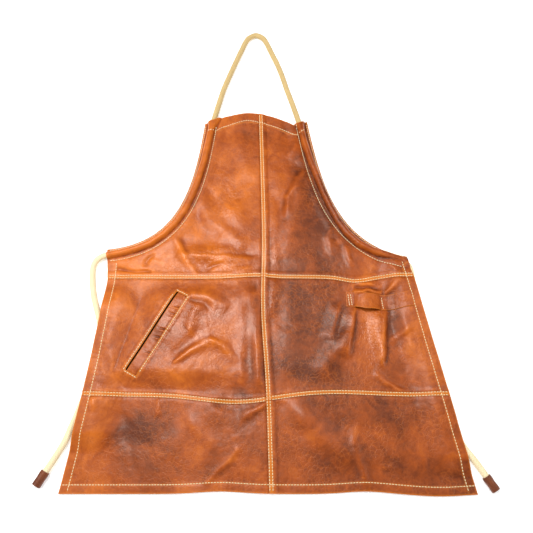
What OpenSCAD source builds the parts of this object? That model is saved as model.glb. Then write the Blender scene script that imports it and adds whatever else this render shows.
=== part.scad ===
// Leather welding apron laid flat, face up: three rows of panels, corded armhole
// casings, a neck loop and two ties. +X right, +Y towards the bib, +Z up, floor at Z 0.

/* [Leather] */
// Thickness of the leather
leather_t = 1.4; // [1.2:0.1:1.6]
// Width of the turned hems at the sides and the bottom
hem_w = 15; // [10:1:20]
// Width of the turned hem along the bib's top edge
top_hem_w = 25; // [20:1:30]
// Width of the facing strips that close the armhole casings at the back
facing_w = 28; // [26:1:30]

/* [Pocket] */
// Length of the slanted pocket window
window_len = 178; // [160:1:180]
// Width of the slanted pocket window
window_w = 23; // [20:1:24]
// Width of the open slit between the window's outer edge and the welt
slit_w = 6; // [5.8:0.1:7]
// Thickness of the pocket's back layer
bag_t = 1; // [0.8:0.1:1.2]

/* [Tool loop] */
// Height of the tool loop's strap
loop_h = 31; // [24:1:32]
// How far the strap bows up off the panel
loop_bow = 9; // [8:0.5:11]

/* [Cord] */
// Diameter of the cotton cord
cord_d = 12; // [10:0.5:12]
// Diameter of the leather wraps on the cord ends
tip_d = 16; // [14:0.5:17]
// Number of flat sides on the cord
cord_sides = 10; // [8:2:12]

/* [Thread] */
// Width of a row of topstitching
thread_w = 1.2; // [0.8:0.1:1.6]
// Distance between the two rows of a double seam
row_gap = 5.5; // [5:0.5:8]

/* [Hidden] */

LEATHER = [0.66, 0.30, 0.13];
LINING = [0.42, 0.22, 0.12];
THREAD = [0.93, 0.80, 0.55];
COTTON = [0.84, 0.76, 0.60];

// How far a thread row stands proud of the leather, and how far it sinks into it
thread_up = 0.5;
thread_sunk = 0.5;
// Gap left between stacked layers, and under sewn-on pieces that follow the drape
play = 0.1;
sewn_play = 0.5;

// ---- small helpers ----
function mix(a, b, t) = a + (b - a) * t;
function ramp(a, b, x) = let (t = min(1, max(0, (x - a) / (b - a)))) t * t * (3 - 2 * t);
function hump(x, w) = exp(-pow(x / w, 2));
function unit(v) = v / norm(v);
function bezier(p, t) =
    pow(1 - t, 3) * p[0] + 3 * pow(1 - t, 2) * t * p[1] + 3 * (1 - t) * t * t * p[2] + pow(t, 3) * p[3];
function seg_gap(a, b, q) =
    let (t = min(1, max(0, ((q - a) * (b - a)) / ((b - a) * (b - a))))) norm(q - mix(a, b, t));
function path_gap(path, q) = min([for (i = [0:len(path) - 2]) seg_gap(path[i], path[i + 1], q)]);
function flat(p) = [p[0], p[1]];
function flats(path) = [for (p = path) flat(p)];

// ---- cord routes: centre line points, the height of each, hand placed ----
left_casing_route = [
    [-338, 48.5, 7.6], [-330, 53, 7.6], [-318, 55, 7.6], [-295, 60, 7.6], [-268, 68, 7.6], [-240, 80, 7.6],
    [-214, 100, 7.6], [-193, 124, 7.6], [-175, 153, 7.6], [-160, 190, 7.6], [-148, 230, 7.6],
    [-138, 272, 7.6], [-131, 315, 7.6], [-125, 352, 7.6], [-117.5, 389, 7.6],
];
right_casing_route = [
    [272.5, 42, 7.6], [262, 46.5, 7.6], [240, 54, 7.6], [212, 64, 7.6], [184, 80, 7.6],
    [162, 103, 7.6], [145, 130, 7.6], [130, 163, 7.6], [116, 200, 7.6], [104, 238, 7.6],
    [91, 278, 7.6], [80, 320, 7.6], [73, 356, 7.6], [64.5, 389, 7.6],
];
neck_route = [
    [-115.5, 398, 7.6], [-108, 430, 7.2], [-100, 463, 6.8], [-89, 497, 6.5], [-77, 532, 6.3], [-63, 570, 6.3],
    [-53, 597, 6.3], [-44, 612, 6.3], [-28, 620, 6.3], [-12, 612, 6.3], [-3, 597, 6.3],
    [9, 567, 6.3], [23, 532, 6.3], [34, 497, 6.5], [43, 463, 6.8], [53, 430, 7.2], [62, 398, 7.6],
];
left_tie_route = [
    [-343, 44, 7.6], [-348, 34, 7.4], [-349.5, 20, 7.1], [-347, -5, 6.7], [-341, -35, 6.3], [-331, -65, 6.3],
    [-322, -95, 6.3], [-318, -125, 6.3], [-319, -152, 6.3], [-324, -178, 6.3], [-331, -204, 6.3],
    [-339, -230, 6.3], [-347, -257, 6.3], [-356, -284, 6.3], [-365, -310, 6.8], [-378, -336, 8],
    [-391, -359, 8],
];
right_tie_route = [
    [277, 37, 7.6], [283, 27, 7.4], [285.5, 12, 7.1], [286.5, -10, 6.7], [288, -40, 6.3], [292, -75, 6.3],
    [297, -110, 6.3], [302, -145, 6.3], [307, -180, 6.3], [313, -215, 6.3], [321, -250, 6.3],
    [333, -285, 6.3], [349, -317, 6.8], [367, -343, 8], [382, -367, 8],
];
tip_len = 28;

// ---- pattern lines ----
waist_y0 = 9;
skirt_y0 = -224;
bottom_y0 = -396;
side_drop = 408;
function left_x(y) = -319 - 47 * pow(max(0, (12 - y) / side_drop), 1.4);
function right_x(y) = 288 + 78 * (6 - y) / side_drop;
function seam_x(y) = -5 - 0.0275 * y - 6 * hump(y + 60, 110);
function waist_y(x) = waist_y0 + 4 * hump(x + 25, 40) - 9 * hump(x - 175, 35);
function skirt_y(x) = skirt_y0 - 13 * hump(x + 60, 90) + 5 * hump(x - 120, 90);
function bottom_y(x) = bottom_y0 + 4 * hump(x + 84, 55) + 4 * hump(x - 169, 50) - 4 * hump(x - 300, 60);
function top_y(x) = x < -46
    ? 400 - 29 * pow((-46 - x) / 93, 1.5)
    : 400 - 30 * pow(min(1, (x + 46) / 101), 2) + 7 * ramp(55, 87, x);
left_armhole = [[-326, 68], [-184, 82], [-157, 201], [-139, 371]];
right_armhole = [[279, 50], [144, 84], [115, 205], [87, 377]];

// Corner where a cross seam meets a side edge or the centre seam
function on_left(y) = [left_x(y), y];
function on_right(y) = [right_x(y), y];
function on_seam(y) = [seam_x(y), y];
waist_l = on_left(waist_y(-319));
waist_c = on_seam(waist_y(-10));
waist_r = on_right(waist_y(288));
skirt_l = on_left(skirt_y(-340));
skirt_c = on_seam(skirt_y(0));
skirt_r = on_right(skirt_y(330));
hem_l = on_left(bottom_y(-366));
hem_c = on_seam(bottom_y(6));
hem_r = on_right(bottom_y(366));
top_c = on_seam(top_y(-16));

// ---- drape: height of the leather's underside over the floor ----
arch_lift = 12.9;
strip_lift = leather_t + play;
tie_lift = 13.6;
pocket_lift = 7.2;
bag_lift = bag_t + play;
left_cased = flats(left_casing_route);
right_cased = concat(flats([right_tie_route[1], right_tie_route[0]]), flats(right_casing_route));
function casing_lift(d) = strip_lift * (1 - ramp(18, 34, d)) + arch_lift * (1 - ramp(4.5, 13, d));
// The side hems ride over the ties, then come down to the floor a little way in
side_crest = 27;
side_foot = 60;
function side_lift(inset, y, low, high) = tie_lift * (1 - ramp(side_crest, side_foot, inset))
    * ramp(low, low + 40, y) * (1 - ramp(high, high + 40, y));

// The pocket slit's line, and the region of the back layer to its right
slit_low = [-266, -181];
slit_dir = unit([88, 157]);
slit_side = [slit_dir[1], -slit_dir[0]];
function slit_gap(q) = (q - slit_low) * slit_side;
function in_pocket(q, grow) =
    ramp(-20 - grow, -2 - grow, slit_gap(q)) * (1 - ramp(-62 + grow, -30 + grow, q[0]))
    * ramp(-216 - grow, -190 - grow, q[1]) * (1 - ramp(-15 + grow, 6 + grow, q[1]));

// A fold: a ridge of a given height and width along a straight line, fading at its ends
function fold(q, a, b, high, wide) =
    let (along = (q - a) * unit(b - a), span = norm(b - a))
    high * hump(seg_gap(a, b, q), wide)
    * ramp(-wide, wide, along) * (1 - ramp(span - wide, span + wide, along));
function folds(q) =
    fold(q, [70, 230], [35, 60], 6, 22)
    + fold(q, [-175, 58], [-60, 66], 5, 16)
    + fold(q, [150, -110], [100, -180], 5, 18)
    + fold(q, [205, -100], [225, -200], 6, 18)
    + fold(q, [45, -245], [140, -335], 6, 22)
    + fold(q, [-30, -20], [-20, -215], 4, 12);
function drape(q) =
    max(casing_lift(path_gap(left_cased, q)), casing_lift(path_gap(right_cased, q)),
        side_lift(q[0] - left_x(q[1]), q[1], -330, -40), side_lift(right_x(q[1]) - q[0], q[1], -370, 34),
        pocket_lift * in_pocket(q, 0) + bag_lift * in_pocket(q, 16))
    + folds(q);
function face(q) = drape(q) + leather_t;

// ---- sheet: a closed skin over a grid of places, from a lower to an upper height ----
function coons(west, east, south, north, u, v) =
    mix(west(v), east(v), u) + mix(south(u), north(u), v)
    - mix(mix(south(0), south(1), u), mix(north(0), north(1), u), v);
module sheet(places, low, high) {
    rows = len(places);
    cols = len(places[0]);
    count = rows * cols;
    tops = [for (row = places) for (q = row) [q[0], q[1], high(q)]];
    lows = [for (row = places) for (q = row) [q[0], q[1], low(q)]];
    cells = [for (v = [0:rows - 2]) for (u = [0:cols - 2]) v * cols + u];
    skins = [for (i = cells) each [
        [i, i + cols, i + cols + 1], [i, i + cols + 1, i + 1],
        [count + i, count + i + cols + 1, count + i + cols], [count + i, count + i + 1, count + i + cols + 1],
    ]];
    ends = [for (u = [0:cols - 2]) let (s = u, n = (rows - 1) * cols + u) each [
        [s, s + 1, count + s + 1], [s, count + s + 1, count + s],
        [n + 1, n, count + n], [n + 1, count + n, count + n + 1],
    ]];
    sides = [for (v = [0:rows - 2]) let (w = v * cols, e = w + cols - 1) each [
        [w + cols, w, count + w], [w + cols, count + w, count + w + cols],
        [e, e + cols, count + e + cols], [e, count + e + cols, count + e],
    ]];
    polyhedron(concat(tops, lows), concat(skins, ends, sides), convexity = 8);
}
function steps(n) = [for (i = [0:n]) i / n];

// ---- swept solids ----
function heading(p, i) = unit(p[min(len(p) - 1, i + 1)] - p[max(0, i - 1)]);
function ring(at, dir, r, sides) =
    let (side = unit(cross(dir, [0, 0, 1])), up = cross(side, dir))
    [for (k = [0:sides - 1]) at + r * (cos(360 * k / sides) * side + sin(360 * k / sides) * up)];
module skin_of_rings(rings) {
    sides = len(rings[0]);
    last = len(rings) - 1;
    walls = [for (i = [0:last - 1]) for (k = [0:sides - 1]) let (
            a = i * sides + k, b = i * sides + (k + 1) % sides) each [
        [a, b, b + sides], [a, b + sides, a + sides],
    ]];
    caps = [[for (k = [0:sides - 1]) sides - 1 - k], [for (k = [0:sides - 1]) last * sides + k]];
    polyhedron([for (r = rings) each r], concat(walls, caps), convexity = 8);
}
// A round tube along a route; ball_start and ball_end round off an end about its last point
module tube(route, d, ball_start = false, ball_end = false) {
    r = d / 2;
    last = len(route) - 1;
    first_dir = heading(route, 0);
    last_dir = heading(route, last);
    body = [for (i = [0:last]) ring(route[i], heading(route, i), r, cord_sides)];
    start_cap = ball_start ? [
        ring(route[0] - 0.87 * r * first_dir, first_dir, 0.5 * r, cord_sides),
        ring(route[0] - 0.5 * r * first_dir, first_dir, 0.87 * r, cord_sides),
    ] : [];
    end_cap = ball_end ? [
        ring(route[last] + 0.5 * r * last_dir, last_dir, 0.87 * r, cord_sides),
        ring(route[last] + 0.87 * r * last_dir, last_dir, 0.5 * r, cord_sides),
    ] : [];
    skin_of_rings(concat(start_cap, body, end_cap));
}
// A row of topstitching: a flat ribbon along a path, half sunk into the leather's face
module stitch_row(path) {
    ribbon = [for (i = [0:len(path) - 1]) let (
            q = path[i], dir = heading(path, i), side = [dir[1], -dir[0]] * thread_w / 2, z = face(q)) [
        [q[0] - side[0], q[1] - side[1], z - thread_sunk], [q[0] - side[0], q[1] - side[1], z + thread_up],
        [q[0] + side[0], q[1] + side[1], z + thread_up], [q[0] + side[0], q[1] + side[1], z - thread_sunk],
    ]];
    skin_of_rings(ribbon);
}
// The path moved sideways, to its right
function beside(path, gap) =
    [for (i = [0:len(path) - 1]) let (dir = heading(path, i)) path[i] + gap * [dir[1], -dir[0]]];
module double_row(path) {
    for (side = [-0.5, 0.5]) {
        stitch_row(beside(path, side * row_gap));
    }
}

// ---- bib: a strip along the armhole, then the field from there to the centre seam ----
left_casing_edge = [[-322, 34], [-159, 51], [-119, 190], [-105, 385]];
right_casing_edge = [[283, 22], [124, 25], [74, 220], [54, 370]];
strip_cols = [0, 0.15, 0.26, 0.37, 0.5, 0.64, 0.82];
field_cols = steps(8);
bib_rows = steps(24);
// The bib's lower edge: down the hip from the casing, then along the waist seam, clear of it
seam_play = 0.5;
function hip_line(start, corner, u) = let (turn = 0.1, clear = [0, seam_play]) u < turn
    ? mix(start, corner + clear, u / turn)
    : clear + cross_seam(corner, waist_c, (u - turn) / (1 - turn), function(x) waist_y(x));
function top_line(from, to, u) = let (x = mix(from[0], to[0], u)) [x, top_y(x)];
function bib_place(armhole, inner, corner, v) = concat(
    [for (u = strip_cols) coons(
        function(t) bezier(armhole, t), function(t) bezier(inner, t),
        function(t) mix(armhole[0], inner[0], t), function(t) top_line(armhole[3], inner[3], t), u, v)],
    [for (u = field_cols) coons(
        function(t) bezier(inner, t), function(t) on_seam(mix(waist_c[1] + seam_play, top_c[1], t)),
        function(t) hip_line(inner[0], corner, t), function(t) top_line(inner[3], top_c, t), u, v)]);
left_bib_places = [for (v = bib_rows) bib_place(left_armhole, left_casing_edge, waist_l, v)];
right_bib_places = flip([for (v = bib_rows) bib_place(right_armhole, right_casing_edge, waist_r, v)]);

module bib_panel_left() {
    color(LEATHER) sheet(left_bib_places, function(q) drape(q), function(q) face(q));
}
module bib_panel_right() {
    color(LEATHER) sheet(right_bib_places, function(q) drape(q), function(q) face(q));
}

// ---- waist and skirt rows ----
// Fractions across a row of panels, finer over the raised side edge
side_cols = [0, 0.05, 0.1, 0.17, 0.24, 0.32, 0.41, 0.5, 0.6, 0.7, 0.8, 0.9, 1];
function cross_seam(a, b, t, line) =
    let (x = mix(a[0], b[0], t), off_a = a[1] - line(a[0]), off_b = b[1] - line(b[0]))
    [x, line(x) + mix(off_a, off_b, t)];
function row_places(side, low, low_c, high, high_c, low_line, high_line, n) =
    [for (v = steps(n)) [for (u = side_cols) coons(
        function(t) side(mix(low[1], high[1], t)), function(t) on_seam(mix(low_c[1], high_c[1], t)),
        function(t) cross_seam(low, low_c, t, low_line), function(t) cross_seam(high, high_c, t, high_line),
        u, v)]];
function flip(places) = [for (row = places) [for (i = [len(row) - 1:-1:0]) row[i]]];
waist_left_places = row_places(function(y) on_left(y), skirt_l, skirt_c, waist_l, waist_c,
    function(x) skirt_y(x), function(x) waist_y(x), 16);
waist_right_places = flip(row_places(function(y) on_right(y), skirt_r, skirt_c, waist_r, waist_c,
    function(x) skirt_y(x), function(x) waist_y(x), 16));
skirt_left_places = row_places(function(y) on_left(y), hem_l, hem_c, skirt_l, skirt_c,
    function(x) bottom_y(x), function(x) skirt_y(x), 12);
skirt_right_places = flip(row_places(function(y) on_right(y), hem_r, hem_c, skirt_r, skirt_c,
    function(x) bottom_y(x), function(x) skirt_y(x), 12));

// Place on the pocket: a distance along the slit and a distance to its right
function pocket_at(along, side) = slit_low + along * slit_dir + side * slit_side;
window_side = -1;
window_start = 2;
module waist_panel_left() {
    corner = pocket_at(window_start, window_side);
    color(LEATHER) difference() {
        sheet(waist_left_places, function(q) drape(q), function(q) face(q));
        translate([corner[0], corner[1], -5])
            rotate(-atan2(slit_dir[0], slit_dir[1]))
                cube([window_w, window_len, 40]);
    }
}
module waist_panel_right() {
    color(LEATHER) sheet(waist_right_places, function(q) drape(q), function(q) face(q));
}
module skirt_panel_left() {
    color(LEATHER) sheet(skirt_left_places, function(q) drape(q), function(q) face(q));
}
module skirt_panel_right() {
    color(LEATHER) sheet(skirt_right_places, function(q) drape(q), function(q) face(q));
}

// ---- armhole facings: flat strips on the floor that follow the armhole edges ----
facing_top = 0.92;
module facing(armhole, side, start) {
    edge = [for (t = steps(20)) bezier(armhole, mix(start, facing_top, t))];
    inner = beside(edge, side * facing_w);
    outline = concat(edge, [for (i = [len(inner) - 1:-1:0]) inner[i]]);
    linear_extrude(leather_t) polygon(outline);
}
module armhole_facing_left() {
    color(LINING) facing(left_armhole, 1, 0);
}
module armhole_facing_right() {
    color(LINING) facing(right_armhole, -1, 0.04);
}

// ---- slanted pocket ----
bag_outline = [[-284, -203], [-178, -6], [-44, -6], [-44, -206], [-270, -212]];
module pocket_bag() {
    color(LINING) linear_extrude(bag_t) polygon(bag_outline);
}
welt_over = 8;
module pocket_welt() {
    across = [for (t = steps(4)) mix(window_side + slit_w, window_side + window_w + welt_over, t)];
    places = [for (a = steps(12)) [for (s = across) 
        pocket_at(mix(window_start - welt_over, window_len + welt_over, a), s)]];
    color(LEATHER) sheet(places, function(q) drape(q) - sewn_play - leather_t,
        function(q) drape(q) - sewn_play);
}

// ---- tool loop: a strap sewn down at its left end and at two thirds, bowed between ----
// Where the strap starts, leaves the panel, comes back to it, and ends
loop_x = [153, 168, 219, 283];
function loop_mid_y(x) = -38 - 8 * ramp(160, 228, x) + 6 * ramp(232, 283, x);
function loop_rise(x) = x > loop_x[1] && x < loop_x[2]
    ? loop_bow * pow(sin(180 * (x - loop_x[1]) / (loop_x[2] - loop_x[1])), 0.7)
    : 0;
loop_xs = concat([153, 160], [for (t = steps(12)) mix(loop_x[1], loop_x[2], t)], [228, 242, 256, 270, 283]);
module tool_loop() {
    places = [for (t = steps(4)) [for (x = loop_xs) [x, loop_mid_y(x) + mix(-loop_h / 2, loop_h / 2, t)]]];
    color(LEATHER) sheet(places, function(q) face(q) + sewn_play + loop_rise(q[0]),
        function(q) face(q) + sewn_play + loop_rise(q[0]) + leather_t);
}

// ---- cord ----
module cord_in_left_casing() {
    color(COTTON) tube(left_casing_route, cord_d);
}
module cord_in_right_casing() {
    color(COTTON) tube(right_casing_route, cord_d);
}
module neck_loop_cord() {
    color(COTTON) tube(neck_route, cord_d, true, true);
}
module left_tie_cord() {
    color(COTTON) tube(left_tie_route, cord_d, true, false);
}
module right_tie_cord() {
    color(COTTON) tube(right_tie_route, cord_d, true, false);
}
// A tapered leather wrap that starts where the cord's solid ends
module cord_tip(route) {
    last = len(route) - 1;
    start = route[last];
    dir = unit([heading(route, last)[0], heading(route, last)[1], 0]);
    side_turn = atan2(dir[1], dir[0]);
    translate([start[0], start[1], tip_d / 2])
        rotate([0, 0, side_turn])
            rotate([0, 90, 0])
                rotate_extrude($fn = 24)
                    polygon([[0, 0], [cord_d / 2 + 1, 0], [tip_d / 2, 4], [tip_d / 2, tip_len - 3],
                        [tip_d / 2 - 1.5, tip_len], [0, tip_len]]);
}
module left_cord_tip() {
    color(LEATHER) cord_tip(left_tie_route);
}
module right_cord_tip() {
    color(LEATHER) cord_tip(right_tie_route);
}

// ---- topstitching ----
seam_points = 28;
module center_seam_thread() {
    path = [for (t = steps(seam_points)) on_seam(mix(hem_c[1] + 4, top_c[1] - 3, t))];
    color(THREAD) double_row(path);
}
module cross_seam_thread(a, c, b, line) {
    for (run = [[a, c], [c, b]]) {
        path = [for (t = steps(15)) cross_seam(run[0], run[1], mix(0.015, 0.98, t), line)];
        double_row(path);
    }
}
module waist_seam_thread() {
    color(THREAD) cross_seam_thread(waist_l, waist_c, waist_r, function(x) waist_y(x));
}
module skirt_seam_thread() {
    color(THREAD) cross_seam_thread(skirt_l, skirt_c, skirt_r, function(x) skirt_y(x));
}
module left_hem_thread() {
    path = [for (y = [28:-21:-392]) [left_x(y) + hem_w, y]];
    color(THREAD) stitch_row(path);
}
module right_hem_thread() {
    path = [for (y = [28:-21:-392]) [right_x(y) - hem_w, y]];
    color(THREAD) stitch_row(path);
}
module bottom_hem_thread() {
    path = [for (x = [-360:20:360]) [x, bottom_y(x) + hem_w]];
    color(THREAD) stitch_row(path);
}
module top_hem_thread() {
    path = [for (x = [-112:12:56]) [x, top_y(x) - top_hem_w + 5 * hump(x + 46, 30)]];
    color(THREAD) stitch_row(path);
}
outer_row = 3;
inner_row = 26;
module armhole_rows(armhole, side) {
    for (inset = [outer_row, inner_row]) {
        edge = [for (t = steps(22)) bezier(armhole, mix(0.03, 0.98, t))];
        stitch_row(beside(edge, side * inset));
    }
}
module armhole_thread_left() {
    color(THREAD) armhole_rows(left_armhole, 1);
}
module armhole_thread_right() {
    color(THREAD) armhole_rows(right_armhole, -1);
}
pocket_margin = 3;
module pocket_thread() {
    left = window_side - pocket_margin;
    right = window_side + window_w + pocket_margin;
    low = window_start - pocket_margin;
    high = window_start + window_len + pocket_margin;
    corners = [[low, left], [high, left], [high, right], [low, right], [low, left]];
    color(THREAD) for (i = [0:3]) {
        a = corners[i];
        b = corners[i + 1];
        n = i % 2 == 0 ? 12 : 2;
        stitch_row([for (t = steps(n)) let (c = mix(a, b, mix(0.01, 0.99, t))) pocket_at(c[0], c[1])]);
    }
}
loop_rows = [158, 163, 223];
row_lean = 3;
module tool_loop_thread() {
    color(THREAD) for (x = loop_rows) {
        bottom = loop_mid_y(x) - loop_h / 2 + 1.5;
        top = loop_mid_y(x) + loop_h / 2 - 1.5;
        translate([0, 0, leather_t + sewn_play])
            stitch_row([[x + row_lean / 2, bottom], [x, (bottom + top) / 2], [x - row_lean / 2, top]]);
    }
}

bib_panel_left();
bib_panel_right();
waist_panel_left();
waist_panel_right();
skirt_panel_left();
skirt_panel_right();
armhole_facing_left();
armhole_facing_right();
pocket_bag();
pocket_welt();
tool_loop();
cord_in_left_casing();
cord_in_right_casing();
neck_loop_cord();
left_tie_cord();
right_tie_cord();
left_cord_tip();
right_cord_tip();
center_seam_thread();
waist_seam_thread();
skirt_seam_thread();
left_hem_thread();
right_hem_thread();
bottom_hem_thread();
top_hem_thread();
armhole_thread_left();
armhole_thread_right();
pocket_thread();
tool_loop_thread();
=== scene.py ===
import math

import bmesh
import bpy
import numpy as np
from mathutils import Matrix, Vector
from mathutils.bvhtree import BVHTree


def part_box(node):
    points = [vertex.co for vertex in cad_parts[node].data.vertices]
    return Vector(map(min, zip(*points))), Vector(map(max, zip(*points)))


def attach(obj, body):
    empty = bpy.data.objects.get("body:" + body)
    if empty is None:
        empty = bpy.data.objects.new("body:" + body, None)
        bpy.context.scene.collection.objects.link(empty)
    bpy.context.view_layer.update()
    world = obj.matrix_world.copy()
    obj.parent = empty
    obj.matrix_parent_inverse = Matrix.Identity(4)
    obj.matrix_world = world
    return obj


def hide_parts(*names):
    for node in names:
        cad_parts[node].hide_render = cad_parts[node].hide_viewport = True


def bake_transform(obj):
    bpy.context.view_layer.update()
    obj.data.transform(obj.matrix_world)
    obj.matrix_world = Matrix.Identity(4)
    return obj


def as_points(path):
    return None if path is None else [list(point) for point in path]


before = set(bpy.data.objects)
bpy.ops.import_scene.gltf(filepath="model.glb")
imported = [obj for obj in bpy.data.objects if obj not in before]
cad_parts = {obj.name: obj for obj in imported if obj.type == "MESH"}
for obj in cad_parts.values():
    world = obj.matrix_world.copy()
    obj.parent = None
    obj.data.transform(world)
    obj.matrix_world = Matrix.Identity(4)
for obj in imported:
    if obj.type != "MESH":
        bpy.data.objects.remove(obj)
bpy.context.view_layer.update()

# Shapes are worked out in millimetres and become metres when a mesh is made.
MM = 0.001
FAR = 1e9
UP = np.array([0, 0, 1.0])
LEATHER_T = 1.4
HEM = 15.0
TOP_HEM = 25.0
ROW_GAP = 5.5
# The camera's tilt from straight down in degrees, its distance in metres and its lens
CAMERA_TILT = 22
CAMERA_AWAY = 1.216
CAMERA_LENS = 40.8


# ---- camera ----
def make_camera():
    """A camera over the hem that looks down and towards the bib."""
    tilt = math.radians(CAMERA_TILT)
    low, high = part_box("waist_panel_left")[0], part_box("waist_panel_right")[1]
    aim = Vector(((low.x + high.x) / 2 + 0.0015, high.y + 0.0205, 0))
    data = bpy.data.cameras.new("camera")
    data.lens = CAMERA_LENS
    camera = bpy.data.objects.new("camera", data)
    camera.location = aim + Vector((0, -math.sin(tilt), math.cos(tilt))) * CAMERA_AWAY
    camera.rotation_euler = (tilt, 0, 0)
    bpy.context.scene.collection.objects.link(camera)
    bpy.context.scene.camera = camera


# ---- numbers over the plane ----
def mix(a, b, t):
    return a + (b - a) * t


def xy(x, y):
    return np.stack([x, y], -1)


def ramp(a, b, x):
    t = np.clip((x - a) / (b - a), 0, 1)
    return t * t * (3 - 2 * t)


def hump(x, w):
    return np.exp(-((x / w) ** 2))


def unit(v):
    return v / np.linalg.norm(v)


def roundness(d, radius):
    """From 0 at an edge to 1 a radius in from it, along a quarter of a circle."""
    return np.sqrt(1 - np.clip(1 - d / radius, 0, 1) ** 2)


def straight(a, b):
    """A straight line from a to b, as a function of fractions along it."""
    return lambda t: mix(a, b, t[:, None])


def bezier(p, t):
    p, t = np.asarray(p, float), np.asarray(t, float)[:, None]
    return (1 - t) ** 3 * p[0] + 3 * (1 - t) ** 2 * t * p[1] + 3 * (1 - t) * t * t * p[2] + t**3 * p[3]


def near(path, q):
    """Distance from each place q to a path, and how far along the path its nearest point is."""
    path = np.asarray(path, float)[:, :2]
    best, along, done = np.full(len(q), FAR), np.zeros(len(q)), 0.0
    for a, b in zip(path[:-1], path[1:]):
        run = b - a
        span = np.hypot(*run)
        t = np.clip(((q - a) @ run) / span**2, 0, 1)
        gap = np.hypot(*(q - a - t[:, None] * run).T)
        closer = gap < best
        best = np.where(closer, gap, best)
        along = np.where(closer, done + t * span, along)
        done += span
    return best, along


def noise(q, size, seed):
    """Smooth noise from about -1 to 1 over the plane, with bumps about size across."""
    angle = np.random.RandomState(seed).uniform(0, 2 * np.pi, (256, 256))
    p = q / size + 31.7
    cell = np.floor(p).astype(int)
    f = p - cell

    def corner(dx, dy):
        a = angle[(cell[:, 0] + dx) % 256, (cell[:, 1] + dy) % 256]
        return np.cos(a) * (f[:, 0] - dx) + np.sin(a) * (f[:, 1] - dy)

    s = f**3 * (f * (6 * f - 15) + 10)
    low = mix(corner(0, 0), corner(1, 0), s[:, 0])
    high = mix(corner(0, 1), corner(1, 1), s[:, 0])
    return 1.5 * mix(low, high, s[:, 1])


# ---- cord routes, the same points as the frame's own cords ----
# The radius under a cord's strands, how far they rise over it, and the cord's height in its casing
CORE_R = 5.25
STRAND_RISE = 0.8
CASED_Z = 7.6
# The leather on a cord's end: its length, its axis's height, its radius at the start of the wrap and how
# much that grows by its end, the wrap's turns, and half the leather's thickness
TIP_LEN = 28.0
TIP_Z = 8.1
TIP_R = 6.6
TIP_GROWTH = 1.1
TIP_TURNS = 1.13
TIP_HALF_T = 0.62


def cased(points):
    """A route at the height that the cord has all along its casing."""
    return [(x, y, CASED_Z) for x, y in points]


LEFT_CASING = cased([
    (-338, 48.5), (-330, 53), (-318, 55), (-295, 60), (-268, 68), (-240, 80), (-214, 100), (-193, 124),
    (-175, 153), (-160, 190), (-148, 230), (-138, 272), (-131, 315), (-125, 352), (-117.5, 389),
])
RIGHT_CASING = cased([
    (272.5, 42), (262, 46.5), (240, 54), (212, 64), (184, 80), (162, 103), (145, 130), (130, 163),
    (116, 200), (104, 238), (91, 278), (80, 320), (73, 356), (64.5, 389),
])
NECK = [
    (-115.5, 398, 7.6), (-108, 430, 7.2), (-100, 463, 6.8), (-89, 497, 6.5), (-77, 532, 6.3),
    (-63, 570, 6.3), (-53, 597, 6.3), (-44, 612, 6.3), (-28, 620, 6.3), (-12, 612, 6.3), (-3, 597, 6.3),
    (9, 567, 6.3), (23, 532, 6.3), (34, 497, 6.5), (43, 463, 6.8), (53, 430, 7.2), (62, 398, 7.6),
]
LEFT_TIE = [
    (-343, 44, 7.6), (-348, 34, 7.4), (-349.5, 20, 7.1), (-347, -5, 6.7), (-341, -35, 6.3),
    (-331, -65, 6.3), (-322, -95, 6.3), (-318, -125, 6.3), (-319, -152, 6.3), (-324, -178, 6.3),
    (-331, -204, 6.3), (-339, -230, 6.3), (-347, -257, 6.3), (-356, -284, 6.3), (-365, -310, 6.8),
    (-378, -336, 8), (-391, -359, 8),
]
RIGHT_TIE = [
    (277, 37, 7.6), (283, 27, 7.4), (285.5, 12, 7.1), (286.5, -10, 6.7), (288, -40, 6.3), (292, -75, 6.3),
    (297, -110, 6.3), (302, -145, 6.3), (307, -180, 6.3), (313, -215, 6.3), (321, -250, 6.3),
    (333, -285, 6.3), (349, -317, 6.8), (367, -343, 8), (382, -367, 8),
]


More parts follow.
